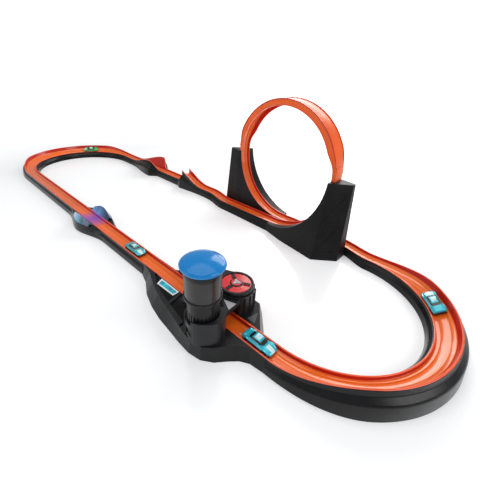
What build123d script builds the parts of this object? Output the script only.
from build123d import *
import math
import os

# Toy car circuit: two banked half-turn curves, one at +X and one at -X, joined by two rows.
# The row at y < 0 holds the launcher with its tower, two straights and the scanner portal.
# The row at y > 0 holds the vertical loop, the jump and the landing funnel.
# Millimetres, +Z up, z = 0 is the floor, origin under the centre of the circuit.

os.makedirs("parts", exist_ok=True)

# ---------------------------------------------------------------- dimensions
CURVE_X = 675.0     # half distance between the two curve centres
CURVE_R = 236.0     # centreline radius of both curves, and half distance between the rows
LANE_Z = 20.0       # running surface height of the level lane
WALL_H = 9.0        # side wall height above the running surface
HALF_IN = 18.3      # half width between the walls
HALF_OUT = 19.9     # half width over the walls
LIP = 21.9          # half width over the lips
SKIRT = 31.0        # half width of the skirt on the floor
GAP = 0.15          # set-back of each piece from a joint
LAUNCHER_ROW, LOOP_ROW = -1, 1      # sign of y

LOOP_X = 335.0                      # centre of the vertical loop
TAKEOFF_X = 2 * LOOP_X - CURVE_X    # joints along the rows
FUNNEL_X = -360.0
LAUNCHER_X = 265.0
PORTAL_X0, PORTAL_X1 = -229.0, 55.0


# ------------------------------------------------------------------- helpers
def solid_loft(sections, ruled=False):
    wires = [Wire.make_polygon([Vector(*p) for p in s], close=True) for s in sections]
    return Solid.make_loft(wires, ruled=ruled)


def box(x0, x1, y0, y1, z0, z1):
    return Pos((x0 + x1) / 2, (y0 + y1) / 2, (z0 + z1) / 2) * Box(x1 - x0, y1 - y0, z1 - z0)


def block(centre, half_x, half_y, z0, z1):
    x, y = centre
    return box(x - half_x, x + half_x, y - half_y, y + half_y, z0, z1)


def cyl(centre, z0, z1, radius):
    """upright cylinder"""
    return Pos(*centre, (z0 + z1) / 2) * Cylinder(radius, z1 - z0)


def cyl_y(x, z, radius, y0, y1):
    """cylinder lying along y"""
    return Pos(x, (y0 + y1) / 2, z) * (Rot(90, 0, 0) * Cylinder(radius, y1 - y0))


def add_each(shape, points, z0, z1, radius):
    for point in points:
        shape = shape + cyl(point, z0, z1, radius)
    return shape


def cut_each(shape, points, z0, z1, radius):
    for point in points:
        shape = shape - cyl(point, z0, z1, radius)
    return shape


def prism_xy(points, z0, z1):
    face = Face(Wire.make_polygon([Vector(x, y, z0) for x, y in points], close=True))
    return Solid.extrude(face, Vector(0, 0, z1 - z0))


def prism_xz(points, y0, y1):
    face = Face(Wire.make_polygon([Vector(x, y0, z) for x, z in points], close=True))
    return Solid.extrude(face, Vector(0, y1 - y0, 0))


def around(centre, radius, degrees):
    angle = math.radians(degrees)
    return (centre[0] + radius * math.cos(angle), centre[1] + radius * math.sin(angle))


def ring(centre, radius, count, start=0):
    return [around(centre, radius, 360 * k / count + start) for k in range(count)]


def smooth(t):
    """0 to 1 with level ends"""
    t = min(1.0, max(0.0, t))
    return t * t * (3 - 2 * t)


def mix(start, end, t):
    return [(p[0] + (q[0] - p[0]) * t, p[1] + (q[1] - p[1]) * t) for p, q in zip(start, end)]


def inset(points, distance):
    """mitred inward offset of a polygon of either winding"""
    count = len(points)
    pairs = [(points[i], points[(i + 1) % count]) for i in range(count)]
    turn = 1 if sum(p[0] * q[1] - q[0] * p[1] for p, q in pairs) > 0 else -1

    def normal(p, q):
        length = math.hypot(q[0] - p[0], q[1] - p[1])
        return (-(q[1] - p[1]) / length * turn, (q[0] - p[0]) / length * turn)

    out = []
    for i, (here, after) in enumerate(pairs):
        n1 = normal(points[i - 1], here)
        n2 = normal(here, after)
        mx, my = n1[0] + n2[0], n1[1] + n2[1]
        square = mx * mx + my * my
        # a near-reversal has no usable mitre
        k = distance * 2 / square if square > 0.05 else 0
        out.append((here[0] + mx * k, here[1] + my * k))
    return out


def one(shape):
    """largest solid of a boolean result"""
    return max(shape.solids(), key=lambda s: s.volume)


def write(name, shape):
    export_step(shape, "parts/" + name + ".step")


# ------------------------------------------------------------ cross sections
# (u, z): u is sideways from the centreline, positive to the outside of the circuit
def mirrored(points):
    return [(-u, z) for u, z in reversed(points)]


def both_sides(points):
    return points + mirrored(points)


def lane_section(z=LANE_Z, wall=WALL_H):
    top = z + wall
    return both_sides([(HALF_IN, z), (HALF_IN, top), (LIP, top), (LIP, top - 1.5),
                       (HALF_OUT, top - 1.5), (HALF_OUT, z - 1.8)])


def skirt_side(foot, z, wall):
    """band under the lip, shoulder, flared foot at half width foot, then the inside"""
    top = z + wall - 1.65
    flare = (foot - 21.6) / 9.4     # 0 upright, 1 at the full skirt
    knee_u, knee_z = 21.6 + 6.9 * flare, 0.56 * top
    return [(20.05, z - 1.95), (20.05, top), (21.6, top), (21.6 + 0.8 * flare, 0.76 * top),
            (knee_u, knee_z), (foot, 0.0),
            (foot - 2, 0.0), (max(19.7, knee_u - 2.1), knee_z - 1.6),
            (19.6, min(knee_z, z - 4.6)), (18.0, z - 3.9)]


def base_section(inner=SKIRT, outer=SKIRT, z=LANE_Z, wall=WALL_H):
    return skirt_side(outer, z, wall) + mirrored(skirt_side(inner, z, wall))


# fully banked curve; the running surface spans the first and the last point of the lane
LANE_BANK = [(15.0, 39.4), (18.6, 54.0), (22.4, 54.0), (22.4, 52.5), (20.4, 52.5), (16.4, 38.0),
             (-18.2, 18.0), (-19.9, 27.5), (-21.9, 27.5), (-21.9, 29.0), (-18.3, 29.0),
             (-17.6, 20.6)]
BASE_BANK = [(16.6, 37.8), (20.55, 52.35), (23.0, 52.35), (25.4, 41.0), (38.4, 32.5), (44.0, 0),
             (42.0, 0), (36.6, 30.6), (24.0, 38.4), (18.6, 36.2),
             (-18.0, 15.6), (-19.6, 15.3), (-26.4, 13.7), (-29.0, 0), (-31, 0), (-28.5, 15.3),
             (-22.4, 20.8), (-21.6, 27.35), (-20.05, 27.35), (-18.5, 17.7)]
# landing funnel at its widest
LANE_FUNNEL = both_sides([(18.3, 20), (40, 71), (43.5, 71), (43, 69), (41.6, 69), (20.3, 18.2)])
BASE_FUNNEL = both_sides([(20.7, 18.0), (41.4, 66.9), (43.3, 66.9), (46.5, 50.0), (54.0, 34.0),
                          (60.0, 0), (58.0, 0), (52.0, 33.0), (43.6, 49.0), (23.0, 14.0)])


def on_row(x, section, row, centre=CURVE_R):
    return [(x, row * (centre + u), z) for u, z in section]


def straight_run(section, x0, x1, row, centre=CURVE_R):
    return solid_loft([on_row(x, section, row, centre) for x in (x0, x1)], True)


# ------------------------------------------------------------------- curves
CURVE_STATIONS = [0.04, *range(6, 43, 6), 55, 70, 90, 110, 125, *range(138, 175, 6), 179.96]


def bank(turned):
    """0 on the level, 1 at full bank; turned is in degrees from the start of the curve"""
    return smooth(turned / 42.0) * smooth((180 - turned) / 42.0)


def curve_sections(side, level, banked):
    start = -90 if side > 0 else 90
    return [[(*around((side * CURVE_X, 0), CURVE_R + u, start + turned), z)
             for u, z in mix(level, banked, bank(turned))] for turned in CURVE_STATIONS]


def curve_lane(side):
    return solid_loft(curve_sections(side, lane_section(), LANE_BANK))


def curve_base(side):
    """the foot is carried under the floor, then trimmed to one flat plane"""
    sections = [[(x, y, z if z > 0 else -1.2) for x, y, z in section]
                for section in curve_sections(side, base_section(), BASE_BANK)]
    centre = side * CURVE_X
    return one(solid_loft(sections) - box(centre - 400, centre + 400, -400, 400, -5, 0))


for name, side in (("near", 1), ("far", -1)):
    write(name + "_curve_lane", curve_lane(side))
    write(name + "_curve_base", curve_base(side))

# ---------------------------------------------------------------- straights
for name, x0, x1 in (("straight_a", PORTAL_X1, LAUNCHER_X), ("straight_b", -CURVE_X, PORTAL_X0)):
    for kind, section in (("_lane", lane_section()), ("_base", base_section())):
        write(name + kind, straight_run(section, x0 + GAP, x1 - GAP, LAUNCHER_ROW))

# --------------------------------------------------------------------- loop
# The entry half starts at the +X curve, shifts outwards, and climbs at the -X side.
# The exit half is the same piece turned half a turn about the loop's upright axis.
# psi is the loop angle in degrees, 0 at the foot and 360 back at the foot.
LOOP_Y = CURVE_R
LOOP_R = 196.0          # running surface radius
LOOP_Z = LANE_Z + LOOP_R
LOOP_SHIFT = 24.0       # side shift of each lane at the foot of the loop
SHIFT_END_X = 530
PSI_JOINT = 99.0        # joint between the entry lane and the upper arc
SHIFT_STATIONS = [CURVE_X - GAP, *range(662, SHIFT_END_X - 1, -12)]
CLIMB_STATIONS = [*range(0, 91, 6), 95, PSI_JOINT - 0.05]
ARC_HALF = [PSI_JOINT + 0.05, *range(101, 120, 3), *range(126, 181, 9)]
ARC_STATIONS = ARC_HALF + [360 - psi for psi in reversed(ARC_HALF[:-1])]

# the upper arc has a wider lane with higher walls
LANE_ARC = both_sides([(25.6, LANE_Z), (25.6, LANE_Z + 16), (29.6, LANE_Z + 16),
                       (29.6, LANE_Z + 14.2), (27.6, LANE_Z + 14.2), (27.6, LANE_Z - 1.8)])
# clearance round the lane where it climbs along the fin
TROUGH = both_sides([(20.25, LANE_Z - 2.1), (20.25, LANE_Z + 6.8), (22.3, LANE_Z + 6.8),
                     (22.3, LANE_Z + 12)])
TROUGH = TROUGH[:4] + TROUGH[4:]

# outline (x, y) of the fin on the floor and at its top
FIN_FOOT = [(335, 236.2), (335, 297), (262, 318), (132, 339.6), (72, 289), (72, 243),
            (130, 236.2)]
FIN_HEAD = [(335, 236.2), (335, 284.4), (262, 287), (144, 299), (92, 255.2), (92, 243),
            (130, 236.2)]
FIN_H = 225.0
SLIM_FOOT = 21.75       # skirt half width on the side next to the other half
PANEL_NORMAL = Vector(-0.645, 0.764, 0.0).normalized()
# ribs on the slanted end panel: (t, z) of both ends, t 0..1 from the outer to the inner corner
RIBS = [((0.1, 24), (0.9, 112)), ((0.9, 24), (0.1, 112)), ((0.1, 112), (0.9, 112)),
        ((0.1, 112), (0.9, 196)), ((0.9, 112), (0.1, 196)), ((0.1, 196), (0.9, 196)),
        ((0.1, 24), (0.9, 24))]


def on_loop(psi, section):
    angle = math.radians(psi)
    centre = LOOP_Y + LOOP_SHIFT * (1 - 2 * smooth((psi - 60) / 240.0))
    out = []
    for u, z in section:
        radius = LOOP_R - (z - LANE_Z)
        out.append((LOOP_X - radius * math.sin(angle), centre + u,
                    LOOP_Z - radius * math.cos(angle)))
    return out


def entry_y(x):
    """centreline of the entry lane"""
    return CURVE_R + LOOP_SHIFT * smooth((CURVE_X - x) / 115.0)


def loop_entry_lane():
    shifting = solid_loft([on_row(x, lane_section(), LOOP_ROW, entry_y(x))
                           for x in SHIFT_STATIONS])
    level = straight_run(lane_section(), SHIFT_END_X, LOOP_X, LOOP_ROW, CURVE_R + LOOP_SHIFT)
    climbing = solid_loft([on_loop(psi, lane_section()) for psi in CLIMB_STATIONS])
    return one(shifting + level + climbing)


def loop_arc_lane():
    def opening(psi):
        return smooth((psi - 101.0) / 17.0) * smooth((259.0 - psi) / 17.0)

    return solid_loft([on_loop(psi, mix(lane_section(), LANE_ARC, opening(psi)))
                       for psi in ARC_STATIONS])


def entry_skirt():
    """skirt under the entry lane; its inner side goes upright beside the other half"""
    sections = []
    for x in SHIFT_STATIONS:
        inner = SLIM_FOOT + (SKIRT - SLIM_FOOT) * smooth((x - 604) / 70.0)
        sections.append(on_row(x, base_section(inner), LOOP_ROW, entry_y(x)))
    skirt = solid_loft(sections)
    sections = []
    for x in (SHIFT_END_X, LOOP_X):
        outer = SKIRT + 7 * (SHIFT_END_X - x) / 195.0
        sections.append(on_row(x, base_section(SLIM_FOOT, outer), LOOP_ROW,
                               CURVE_R + LOOP_SHIFT))
    return skirt + solid_loft(sections, True)


def fin(wall, height):
    foot, head = inset(FIN_FOOT, wall), inset(FIN_HEAD, wall)
    return solid_loft([[(x, y, 0.0) for x, y in foot], [(x, y, height) for x, y in head]], True)


def panel_point(t, z):
    outer, inner = mix(FIN_FOOT[3:5], FIN_HEAD[3:5], z / FIN_H)
    return Vector(outer[0] + (inner[0] - outer[0]) * t, outer[1] + (inner[1] - outer[1]) * t, z)


def rib(start, end, half=1.5):
    """thin bar between two points on the slanted end panel"""
    along = (end - start).normalized()
    across = along.cross(PANEL_NORMAL).normalized()
    proud, sunk = PANEL_NORMAL * 1.3, PANEL_NORMAL * 1.6
    corners = [start + across * half + proud, start - across * half + proud,
               start - across * half - sunk, start + across * half - sunk]
    return Solid.extrude(Face(Wire.make_polygon(corners, close=True)), end - start)


def loop_entry_tower():
    """hollow fin with a concave edge that follows the loop, joined to the skirt"""
    tower = fin(0, FIN_H) - cyl_y(LOOP_X, LOOP_Z, LOOP_R - WALL_H + 0.3, 100, 400)
    cavity = fin(2.6, FIN_H - 3.0) - cyl_y(LOOP_X, LOOP_Z, LOOP_R + 4.6, 100, 400)
    cavity = cavity - box(LOOP_X - 45, LOOP_X + 5, 200, 400, -5, 400)
    tower = one(tower - cavity)
    stations = [-6] + CLIMB_STATIONS[:-1] + [100, 106]
    tower = one(tower - solid_loft([on_loop(psi, TROUGH) for psi in stations]))
    tower = one(tower + entry_skirt())
    for start, end in RIBS:
        tower = tower + rib(panel_point(*start), panel_point(*end))
    return one(tower)


def half_turn(shape):
    return Pos(LOOP_X, LOOP_Y, 0) * (Rot(0, 0, 180) * (Pos(-LOOP_X, -LOOP_Y, 0) * shape))


for kind, shape in (("lane", loop_entry_lane()), ("tower", loop_entry_tower())):
    write("loop_entry_" + kind, shape)
    write("loop_exit_" + kind, half_turn(shape))
write("loop_arc_lane", loop_arc_lane())

# --------------------------------------------------------------------- jump
RAMP_X0, RAMP_X1 = -60.0, -178.0    # start and top of the take-off ramp
RAMP_STATIONS = [TAKEOFF_X - GAP, -30, *range(-60, -166, -15), RAMP_X1]
FUNNEL_OPEN_X = -404                # the funnel is widest here
FUNNEL_STATIONS = [FUNNEL_X - GAP, -368, -376, -384, -392, -398, FUNNEL_OPEN_X, -412, -425,
                   *range(-440, -601, -20), -640, -CURVE_X + GAP]


def ramp_part(x):
    return min(1.0, max(0.0, (RAMP_X0 - x) / (RAMP_X0 - RAMP_X1)))


def ramp_shape(x):
    """running surface height and wall height"""
    return LANE_Z + 36.0 * ramp_part(x) ** 1.6, WALL_H + 10.0 * smooth(ramp_part(x))


def nose_section(x, foot, knee, knee_z, top, top_z, z0=0.0):
    """half widths at the foot, knee and top, and the heights of the last two"""
    half = [(foot, z0), (knee, knee_z), (top, top_z)]
    return ([(x, CURVE_R - foot, z0)] + [(x, CURVE_R + u, z) for u, z in half]
            + [(x, CURVE_R - u, z) for u, z in reversed(half[1:])])


def takeoff_lane():
    return solid_loft([on_row(x, lane_section(*ramp_shape(x)), LOOP_ROW)
                       for x in RAMP_STATIONS])


def takeoff_base():
    """skirt under the ramp, a sloping end panel, then the low skirt up to the funnel"""
    sections = []
    for x in RAMP_STATIONS:
        foot = SKIRT + 12 * ramp_part(x) ** 1.3
        sections.append(on_row(x, base_section(foot, foot, *ramp_shape(x)), LOOP_ROW))
    wedge = solid_loft(sections)
    nose = solid_loft([nose_section(-177, 43, 37.2, 40.8, 21.8, 52.5),
                       nose_section(-178.2, 43, 37.2, 40.8, 21.8, 52.5),
                       nose_section(-207, 31, 28.5, 15.0, 20.0, 15.6)], True)
    nose = nose - solid_loft([nose_section(-176, 40.5, 34.8, 38.6, 20.5, 49.5, -1.0),
                              nose_section(-203, 28.9, 26.2, 13.2, 19.0, 13.6, -1.0)], True)
    low = straight_run(base_section(), -206.5, FUNNEL_X + GAP, LOOP_ROW)
    return one(wedge + nose + low)


def funnel(level, wide):
    def opening(x):
        if x > FUNNEL_OPEN_X:
            return smooth((FUNNEL_X - x) / 44.0)
        return smooth((x + 600) / 196.0)

    return solid_loft([on_row(x, mix(level, wide, opening(x)), LOOP_ROW)
                       for x in FUNNEL_STATIONS])


write("takeoff_lane", takeoff_lane())
write("takeoff_base", takeoff_base())
write("crossing_lane", straight_run(lane_section(), -207.2, FUNNEL_X + GAP, LOOP_ROW))
write("landing_lane", funnel(lane_section(), LANE_FUNNEL))
write("landing_base", funnel(base_section(), BASE_FUNNEL))

# ------------------------------------------------------------ scanner portal
PORTAL = (-85.0, -CURVE_R)
WING_LEN = 130.0        # length over which each wing swells
PORTAL_STATIONS = [PORTAL_X0 + GAP, -215, -195, -175, -155, -135, -115, -100, -85, -70, -55,
                   -35, -15, 5, 25, 45, PORTAL_X1 - GAP]
LENS_STATIONS = [-140, -130, -118, -105, -95, -85, -75, -65, -52, -40, -30]


def about_portal(offsets):
    return [(PORTAL[0] + x, PORTAL[1] + y) for x, y in offsets]


COVER = about_portal([(-65, 40), (0, 53), (65, 40), (65, -40), (0, -53), (-65, -40)])
PORTAL_SCREWS = about_portal([(-50, 30), (50, 30), (-50, -30), (50, -30)])
BOARD_POSTS = about_portal([(-35, 20), (35, 20), (-35, -20), (35, -20)])
SWITCH = (-90, -CURVE_R)


def wing(x):
    return smooth((WING_LEN - abs(x - PORTAL[0])) / WING_LEN)


def portal_section(t):
    """base section, t 0 at the plain skirt and 1 at the widest wing"""
    k = smooth(1.7 * t)
    return both_sides([(20.05, 18.05), (20.05, 27.35), (21.6, 27.35),
                       (22.4 + 31 * t, 20.8 + 6.55 * k), (28.5 + 28.3 * t, 15.3 - 3.3 * t),
                       (31 + 27 * t, 0), (29 + 27 * t, 0), (26.4 + 28.3 * t, 13.7 - 2.1 * t),
                       (19.6 + 31 * t, 15.3 + 9.3 * k), (18.0, 16.1)])


def portal_base():
    base = solid_loft([on_row(x, portal_section(wing(x)), LAUNCHER_ROW)
                       for x in PORTAL_STATIONS])
    base = base - prism_xy(inset(COVER, -0.3), -1, 2.35)
    base = add_each(base, PORTAL_SCREWS, 2.35, 17.6, 3.6)
    return one(cut_each(base, PORTAL_SCREWS, 2, 12.2, 1.2))


def portal_lens(sign):
    """thin arched blade on one wing, sign +1 on the outside of the circuit"""
    sections = []
    for x in LENS_STATIONS:
        rise = 24 * (0.28 + 0.72 * math.sin(math.pi * (x + 145) / 120.0))
        width = 30 * wing(x) - 0.6
        crest = 22.6 + 0.62 * width
        points = [(22.6, 27.6), (crest, 28 + rise), (22.6 + width, 27.6),
                  (20.0 + width, 27.6), (crest, 24.8 + rise), (26.0, 27.6)]
        sections.append(on_row(x, [(sign * u, z) for u, z in points], LAUNCHER_ROW))
    return solid_loft(sections)


def cut_screw_seats(plate, points):
    plate = cut_each(plate, points, -1, 3, 1.5)
    return cut_each(plate, points, -1, 1.4, 3.0)


def portal_cover():
    cover = cut_screw_seats(prism_xy(COVER, 0.3, 2.3), PORTAL_SCREWS)
    return one(cover - block(PORTAL, 14, 3, 0, 3))


def portal_board():
    board = add_each(block(PORTAL, 42, 26, 7.0, 8.6), BOARD_POSTS, 2.3, 7.0, 1.8)
    board = board + box(-112, -92, -232, -218, 8.6, 11.4) + box(-75, -60, -250, -238, 8.6, 12.6)
    return one(board)


def portal_switch():
    switch = block(SWITCH, 4, 2.6, 1.4, 6.2) + block(SWITCH, 2, 1.8, 0.9, 1.4)
    return one(switch + block(SWITCH, 7, 5, 2.35, 4.0))


write("portal_lane", straight_run(lane_section(), PORTAL_X0 + GAP, PORTAL_X1 - GAP, LAUNCHER_ROW))
write("portal_lens_outer", portal_lens(1))
write("portal_lens_inner", portal_lens(-1))
write("portal_base", portal_base())
write("portal_cover", portal_cover())
write("portal_board", portal_board())
write("portal_switch", portal_switch())

# ------------------------------------------------------------ launcher hull
TOWER = (545.0, -298.0)     # slam tower axis
ROTOR = (532.0, -191.0)     # booster rotor axis
ROLLER = (532, -260.2)      # guide roller axis
MODULE = 1.5
NUT_TEETH, IDLER_TEETH, PINION_TEETH = 36, 46, 16
HULL_H = 29.0
HULL_X0, HULL_X1 = LAUNCHER_X + GAP, CURVE_X - GAP
# outline (x, y) on the floor and at the deck
HULL_FOOT = [(HULL_X0, -267), (300, -279), (341, -302), (385, -317), (430, -326.5),
             (477, -331.5), (511, -335.5), (545, -337.5), (574, -332.5), (597, -317),
             (613, -297), (629, -280), (647, -270), (HULL_X1, -267), (HULL_X1, -205),
             (632, -205.5), (577, -146), (493, -143), (412, -161), (336, -206), (HULL_X0, -205)]
HULL_DECK = [(HULL_X0, -258), (304, -267), (347, -285), (389, -299), (434, -309), (478, -318),
             (511, -327), (545, -331.5), (571, -326.5), (589, -311), (603, -291), (617, -273),
             (636, -262.5), (HULL_X1, -258), (HULL_X1, -214), (624, -214), (572, -152),
             (493, -149), (416, -166), (342, -213), (HULL_X0, -214)]
HULL_SCREWS = [(300, -250), (300, -222), (648, -252), (648, -220), (445, -296), (455, -166)]
# outlines (x, y) of the raised frame round the two pockets of the deck
DECK_FRAME = [
    [(312, -268.4), (347, -284), (389, -298), (434, -308), (478, -317), (500, -322.8),
     (500, -313), (480, -309), (436, -300.6), (392, -291.6), (352, -280), (322, -264)],
    [(421.5, -260), (428.5, -260), (437.5, -303), (430, -303)],
    [(312, -268.4), (322, -264), (330, -260), (316, -260)],
]


def pitch_radius(teeth):
    return MODULE * teeth / 2


def idler_centre():
    """the point where the idler meshes with both the nut gear and the rotor pinion"""
    to_nut = pitch_radius(NUT_TEETH) + pitch_radius(IDLER_TEETH)
    to_pinion = pitch_radius(PINION_TEETH) + pitch_radius(IDLER_TEETH)
    span = math.hypot(ROTOR[0] - TOWER[0], ROTOR[1] - TOWER[1])
    along = (to_nut ** 2 - to_pinion ** 2 + span * span) / (2 * span)
    aside = math.sqrt(to_nut ** 2 - along * along)
    ex, ey = (ROTOR[0] - TOWER[0]) / span, (ROTOR[1] - TOWER[1]) / span
    return (TOWER[0] + along * ex - aside * ey, TOWER[1] + along * ey + aside * ex)


IDLER = idler_centre()


def hull_block(z0, z1, wall):
    """the hull between two heights, set in by wall"""
    sections = []
    for z in (z0, z1):
        outline = inset(mix(HULL_FOOT, HULL_DECK, z / HULL_H), wall)
        sections.append([(x, y, z) for x, y in outline])
    return solid_loft(sections, True)


def launcher_hull():
    hull = hull_block(0.0, HULL_H, 0) + cyl(TOWER, 0, HULL_H, 33.0)
    # the channel of the lane, and a shallow rebate for its lips
    for half_width, z0 in ((20.05, 18.05), (22.2, 27.35)):
        hull = hull - box(200, 700, -CURVE_R - half_width, -CURVE_R + half_width, z0, 40)
    hull = hull - hull_block(0.0, 15.9, 3.4) - cyl(TOWER, -1, 15.9, 29.8)
    beside_lane = box(200, 700, -400, -260, 15, 26.4) + box(200, 700, -212, -100, 15, 26.4)
    hull = hull - (hull_block(15.0, 26.4, 4.0) & beside_lane)
    hull = add_each(hull, HULL_SCREWS, 2.3, 16.6, 4.0)
    hull = cut_each(hull, HULL_SCREWS, 1, 12.2, 1.2)
    for centre, radius in ((TOWER, 9.4), (ROTOR, 3.1), (ROLLER, 2.0)):
        hull = hull - cyl(centre, 10, 40, radius)
    frame, *bars = [prism_xy(outline, 28, 33.0) for outline in DECK_FRAME]
    for bar in bars:
        frame = frame + bar
    return one(hull + frame)


def launcher_bottom():
    plate = cut_screw_seats(hull_block(0.0, 2.2, 3.8), HULL_SCREWS)
    plate = plate & box(LAUNCHER_X + 4.2, CURVE_X - 4.2, -400, -100, -1, 3)
    plate = plate + (cyl(TOWER, 2.2, 4.6, 12.0) - cyl(TOWER, 2.2, 5, 9.06))
    plate = plate + cyl(IDLER, 2.2, 15.0, 3.0)
    return one(plate + (cyl(ROTOR, 2.2, 4.6, 6.0) - cyl(ROTOR, 2.2, 5, 3.06)))


def screw(centre, z0, head_top):
    return one(cyl(centre, z0, head_top, 2.8) + cyl(centre, 1.3, 11.8, 1.2))


write("launcher_hull", launcher_hull())
write("launcher_bottom", launcher_bottom())
write("launcher_lane", straight_run(lane_section(), HULL_X0, HULL_X1, LAUNCHER_ROW))
write("case_screws", Compound(children=[screw(p, 0.2, 1.35) for p in HULL_SCREWS]
                              + [screw(p, 0.4, 1.38) for p in PORTAL_SCREWS]))

# --------------------------------------------------------------- slam tower
FLUTES = 28
FLUTE = [(-3.6, 31.0), (2.4, 31.0), (4.2, 29.5), (7.8, 29.5)]   # (degrees, radius)
# half outline (radius, z) of the dome from its foot to its top
DOME = [(34.0, 188), (37.8, 190.4), (40.8, 193.6), (41.6, 196.2), (40.6, 198.8),
        (36.2, 201.9), (28.0, 204.9), (16.0, 207.3), (0, 208.2)]
TWIST_Z0 = 36.0         # lower end of the twisted rod
TWIST_LEAD = 60.0       # rise per turn
SPRING_Z0, SPRING_Z1 = 60.2, 183.2
SPRING_TURNS = 12


def tower_column():
    """lower column: fluted outside, plain where the sleeve slides"""
    outline = [around(TOWER, radius, i * 360 / FLUTES + degrees)
               for i in range(FLUTES) for degrees, radius in FLUTE]
    column = prism_xy(outline, 33.0, 98.0) + cyl(TOWER, 29.0, 34.0, 33.0)
    column = column + cyl(TOWER, 96, 152, 30.6)
    column = column - cyl(TOWER, 20, 160, 27.0)
    column = column + (cyl(TOWER, 56, 59, 27.5) - cyl(TOWER, 50, 65, 7.5))
    # the foot is trimmed beside the lane
    return one(column - box(500, 600, -259.5, -200, 20, 58) - cyl(ROLLER, 28, 58, 9.6))


def plunger_sleeve():
    sleeve = cyl(TOWER, 126, 188, 34.5) + cyl(TOWER, 126, 131, 35.6)
    return one(sleeve - cyl(TOWER, 120, 184.5, 31.4) - cyl(TOWER, 180, 190, 6.0))


def plunger_dome():
    points = [Vector(TOWER[0] + radius, TOWER[1], z) for radius, z in DOME]
    centre = Vector(*TOWER, DOME[0][1])
    profile = Wire([Edge.make_line(centre, points[0]), Spline(*points).edge(),
                    Edge.make_line(points[-1], centre)])
    dome = Solid.revolve(Face(profile), 360, Axis((*TOWER, 0), (0, 0, 1)))
    return one(dome - cyl(TOWER, 180, 196, 6.0))


def twisted_bar(side, z1):
    """twisted bar of square section from TWIST_Z0 up to z1"""
    corners = [Vector(*p, TWIST_Z0) for p in ring(TOWER, side / math.sqrt(2), 4)]
    height = z1 - TWIST_Z0
    return Solid.extrude_linear_with_rotation(
        Face(Wire.make_polygon(corners, close=True)), center=Vector(*TOWER, TWIST_Z0),
        normal=Vector(0, 0, height), angle=height / TWIST_LEAD * 360.0)


def return_spring():
    height = SPRING_Z1 - SPRING_Z0
    helix = Edge.make_helix(pitch=height / SPRING_TURNS, height=height, radius=13.0,
                            center=(*TOWER, SPRING_Z0))
    wire = Face(Wire.make_circle(0.9, Plane(origin=helix @ 0, z_dir=helix % 0)))
    return Solid.sweep(wire, path=helix)


write("tower_column", tower_column())
write("plunger_sleeve", plunger_sleeve())
write("plunger_dome", plunger_dome())
write("plunger_screw", one(twisted_bar(7.0, 186.0) + cyl(TOWER, 184.5, 195.9, 5.98)))
write("return_spring", return_spring())

# -------------------------------------------------------------------- gears
PRESSURE_ANGLE = math.radians(25)
TOOTH_THICKNESS = 0.90      # part of the nominal thickness, leaves backlash


def gear(centre, teeth, phase):
    """involute spur gear; phase is the angle of a tooth centre"""
    def involute(t):
        return math.tan(t) - t

    pitch = pitch_radius(teeth)
    base = pitch * math.cos(PRESSURE_ANGLE)
    tip = pitch + 0.95 * MODULE
    root = pitch - 1.22 * MODULE
    half = math.pi / (2 * teeth) * TOOTH_THICKNESS
    start = max(base, root + 0.15)
    flank = []      # (radius, half angle of the tooth)
    for i in range(4):
        radius = start + (tip - start) * i / 3
        t = math.acos(min(1, base / radius))
        flank.append((radius, half + involute(PRESSURE_ANGLE) - involute(t)))
    foot = flank[0][1]
    fillet = foot + 0.30 * (math.pi / teeth - foot)
    tooth = [(root, -fillet)] + [(radius, -t) for radius, t in flank]
    tooth = tooth + flank[::-1] + [(root, fillet)]
    points = []
    for k in range(teeth):
        middle = phase + 2 * math.pi * k / teeth
        points += [(centre[0] + radius * math.cos(middle + t),
                    centre[1] + radius * math.sin(middle + t)) for radius, t in tooth]
    return prism_xy(points, 5.0, 13.0)


def mesh_phase(centre_a, teeth_a, phase_a, centre_b, teeth_b):
    """phase of gear b so that it meshes with gear a"""
    beta = math.atan2(centre_b[1] - centre_a[1], centre_b[0] - centre_a[0])
    part_a = ((beta - phase_a) * teeth_a / (2 * math.pi)) % 1
    return beta + math.pi - (0.5 - part_a) * 2 * math.pi / teeth_b


NUT_PHASE = 0.0
IDLER_PHASE = mesh_phase(TOWER, NUT_TEETH, NUT_PHASE, IDLER, IDLER_TEETH)
PINION_PHASE = mesh_phase(IDLER, IDLER_TEETH, IDLER_PHASE, ROTOR, PINION_TEETH)


def nut_gear():
    nut = gear(TOWER, NUT_TEETH, NUT_PHASE) + cyl(TOWER, 2.5, 50, 9.0)
    nut = nut - cyl(TOWER, 4.5, 38, 5.7) - twisted_bar(7.3, 56.0)
    return one(cut_each(nut, ring(TOWER, 17, 6, 30), 4, 14, 5.0))


def idler_gear():
    idler = gear(IDLER, IDLER_TEETH, IDLER_PHASE) + cyl(IDLER, 2.5, 14.5, 6.0)
    idler = idler - cyl(IDLER, 2, 16, 3.06)
    return one(cut_each(idler, ring(IDLER, 20, 6, 30), 4, 14, 7.0))


def rotor_shaft():
    shaft = gear(ROTOR, PINION_TEETH, PINION_PHASE) + cyl(ROTOR, 2.5, 86, 3.0)
    shaft = shaft + cyl(ROTOR, 32.0, 38.6, 24.0) + cyl(ROTOR, 29.6, 46.0, 6.0)
    return one(cut_each(shaft, ring(ROTOR, 15, 5), 30, 40, 5.0))


def rotor_disc():
    disc = cyl(ROTOR, 80.0, 88.0, 38.0) - cyl(ROTOR, 85.6, 89, 34.5)
    disc = disc + (cyl(ROTOR, 85, 87.2, 32.0) - cyl(ROTOR, 80, 90, 14.0))
    disc = disc + cyl(ROTOR, 85, 89.0, 11.0)
    disc = add_each(disc, ring(ROTOR, 23, 3, 30), 85, 88.4, 4.5)
    return one(disc - cyl(ROTOR, 79, 86, 3.0))


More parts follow.
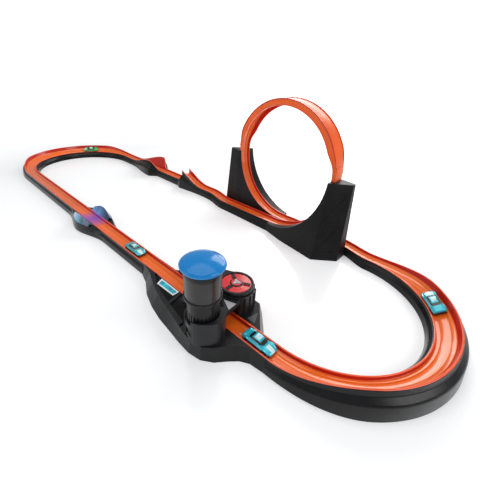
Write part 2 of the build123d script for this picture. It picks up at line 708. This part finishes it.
write("nut_gear", nut_gear())
write("idler_gear", idler_gear())
write("rotor_shaft", rotor_shaft())
write("booster_tyre", one(cyl(ROTOR, 31.0, 39.6, 29.8) - cyl(ROTOR, 30, 41, 24.0)))
write("rotor_disc", rotor_disc())

# ------------------------------------------------------------ rotor housing
# side pod: plan outlines (x, y) and side outlines (x, z), outside and inside
POD_PLAN = [(354, -211.5), (414, -171), (495, -156), (532, -153), (560, -170), (560, -211.5)]
POD_SIDE = [(340, 28), (340, 45), (362, 58), (455, 70), (500, 79), (570, 79), (570, 28)]
POD_PLAN_IN = [(362, -209.2), (416, -174.5), (487, -160.5), (487, -209.2)]
POD_SIDE_IN = [(340, 28), (340, 43), (363, 55.5), (455, 67.5), (500, 76), (500, 28)]
BRIDGE = [(508, -216), (516, -292), (574, -292), (566, -216)]       # (x, y)
BUTTRESS = [(432, 29), (454, 33), (476, 43.5), (494, 59), (504, 80), (524, 80), (524, 29)]
BRIDGE_Z = 61.5         # underside of the bridge
DRUM_BORE = 36.5


def pod(plan, side):
    return prism_xy(plan, 28 if plan is POD_PLAN_IN else 29, 90) & prism_xz(side, -230, -140)


def cheek(start, end, radius_at, z1):
    """upright sector about the tower axis between two angles in degrees"""
    count = int((end - start) / 9)
    angles = [start + (end - start) * i / count for i in range(count + 1)]
    return prism_xy([TOWER] + [around(TOWER, radius_at(a), a) for a in angles], 29.0, z1)


def tower_cheeks():
    """two cheeks round the column, and a buttress down beside the lane from the -X one"""
    cheeks = cheek(-80, 62, lambda a: 36.8 + 8.0 * smooth((a + 42) / 52.0), 86.0)
    cheeks = cheeks + cheek(128, 236, lambda a: 36.8, 80.0)
    cheeks = cheeks + prism_xz(BUTTRESS, -276.0, -264.5)
    cheeks = cheeks - cyl(TOWER, 20, 100, 33.3) - box(500, 700, -259.6, -200, 20, BRIDGE_Z)
    return cheeks - cyl(ROLLER, 20, 58, 9.6)


def rotor_housing():
    """drum with its side pod, and the bridge that clamps round the column"""
    house = cyl(ROTOR, 29.0, 79.0, 41.0) + pod(POD_PLAN, POD_SIDE)
    for a in range(-80, 100, 20):
        # upright ribs round the +X side of the drum
        corners = [around(ROTOR, 40, a - 2.6), around(ROTOR, 44, a), around(ROTOR, 40, a + 2.6)]
        house = house + prism_xy(corners, 29, 75)
    house = house - cyl(ROTOR, 28, 76.0, DRUM_BORE)
    house = house - pod(POD_PLAN_IN, POD_SIDE_IN)
    house = house - box(400, 650, -300, -213.6, 28, BRIDGE_Z)
    bridge = prism_xy(BRIDGE, BRIDGE_Z, 74.0) + cyl(TOWER, BRIDGE_Z, 74.0, 35.0)
    house = house + (bridge - cyl(ROTOR, 50, 76.0, DRUM_BORE))
    house = house - cyl(TOWER, 50, 90, 31.12) - cyl(ROTOR, 70, 90, 3.06)
    house = house & box(300, 700, -400, -100, 29.0, 79.0)
    return one(house + tower_cheeks())


def guide_roller():
    roller = cyl(ROLLER, 30.4, 40.4, 8.9) + cyl(ROLLER, 22.0, 42.0, 1.95)
    return one(roller - cyl(ROLLER, 39.2, 41.0, 8.0) + cyl(ROLLER, 38, 42.0, 3.0))


# status light outlines (x, y)
BEZEL = [(350, -261.5), (358, -280.5), (418, -278.5), (418, -261.5)]
BEZEL_OPENING = [(355.5, -264.5), (360.6, -277.3), (415, -275.5), (415, -264.5)]

write("rotor_housing", one(rotor_housing()))
write("guide_roller", guide_roller())
write("status_bezel", one(prism_xy(BEZEL, 29.0, 31.4) - prism_xy(BEZEL_OPENING, 28, 32)))
write("status_window", prism_xy(inset(BEZEL_OPENING, 0.12), 29.0, 30.6))

# --------------------------------------------------------------------- cars
# built about the origin with x along the car, then placed on the track
WHEEL_R = 5.2
AXLES = (-22.0, 22.0)
MIDDLE = (0, 0)
CAR_SIDE = [(-36, 4.4), (-36, 11.2), (-34.2, 14.4), (-22, 15.6), (-14, 20.0), (4, 20.6),
            (16, 15.4), (30, 12.4), (36, 8.6), (36, 4.4)]                       # (x, z)
CAR_FRONT = [(-15, 4.4), (-15, 12.4), (-13.4, 15.0), (-10.4, 21), (10.4, 21), (13.4, 15.0),
             (15, 12.4), (15, 4.4)]                                             # (y, z)


def car_block(wall):
    front = [Vector(-40, y, z) for y, z in inset(CAR_FRONT, wall)]
    across = Solid.extrude(Face(Wire.make_polygon(front, close=True)), Vector(80, 0, 0))
    return prism_xz(inset(CAR_SIDE, wall), -20, 20) & across


def car_shell():
    shell = car_block(0) - car_block(1.5) - block(MIDDLE, 34.6, 13.6, 0, 6.5)
    for x in AXLES:
        shell = shell - cyl_y(x, WHEEL_R, 6.6, -16, 16)
    return one(shell)


def car_chassis():
    chassis = block(MIDDLE, 34.3, 10.6, 2.6, 4.2) + block(MIDDLE, 15.0, 13.3, 2.6, 4.2)
    chassis = chassis + box(-34.3, -29.6, -13.3, 13.3, 2.6, 8.0)
    chassis = chassis + box(29.6, 34.3, -13.3, 13.3, 2.6, 7.2)
    for x in AXLES:
        chassis = chassis + block((x, 0), 3, 9.8, 2.6, 8.0)
    for x in AXLES:
        chassis = chassis - cyl_y(x, WHEEL_R, 0.86, -12, 12)
    return one(chassis)


def wheelset(x):
    """an axle with two wheels, each with a recessed face and a hub"""
    wheels = cyl_y(x, WHEEL_R, 0.8, -15.0, 15.0)
    for s in (-1, 1):
        wheels = wheels + cyl_y(x, WHEEL_R, WHEEL_R, s * 13.1 - 1.8, s * 13.1 + 1.8)
        wheels = wheels - cyl_y(x, WHEEL_R, 3.4, s * 14.5 - 0.5, s * 14.5 + 0.5)
        wheels = wheels + cyl_y(x, WHEEL_R, 1.5, s * 14.2 - 0.6, s * 14.2 + 0.6)
    return one(wheels)


def bank_seat(side, degrees):
    """seat of a car in the middle of the banked running surface"""
    angle = math.radians(degrees)
    (u1, z1), (u0, z0) = LANE_BANK[0], LANE_BANK[-1]
    tilt = math.atan2(z1 - z0, u1 - u0)
    outward = Vector(math.cos(angle), math.sin(angle), 0)
    forward = Vector(-math.sin(angle), math.cos(angle), 0)
    normal = outward * (-math.sin(tilt)) + Vector(0, 0, math.cos(tilt))
    middle = outward * (CURVE_R + (u0 + u1) / 2) + Vector(side * CURVE_X, 0, (z0 + z1) / 2)
    return Plane(origin=middle + normal * 0.62, x_dir=forward, z_dir=normal).location


CARS = {
    "cyan_racer": Location((640.0, -CURVE_R, LANE_Z + 0.05)),
    "teal_racer": Location((185.0, -CURVE_R, LANE_Z + 0.05)),
    "blue_racer": bank_seat(1, 38.0),
    "green_racer": bank_seat(-1, 150.0),
}
CAR_PARTS = {
    "_shell": car_shell(),
    "_chassis": car_chassis(),
    "_front_wheels": wheelset(AXLES[1]),
    "_rear_wheels": wheelset(AXLES[0]),
}
for car, place in CARS.items():
    for part, shape in CAR_PARTS.items():
        write(car + part, shape.moved(place))
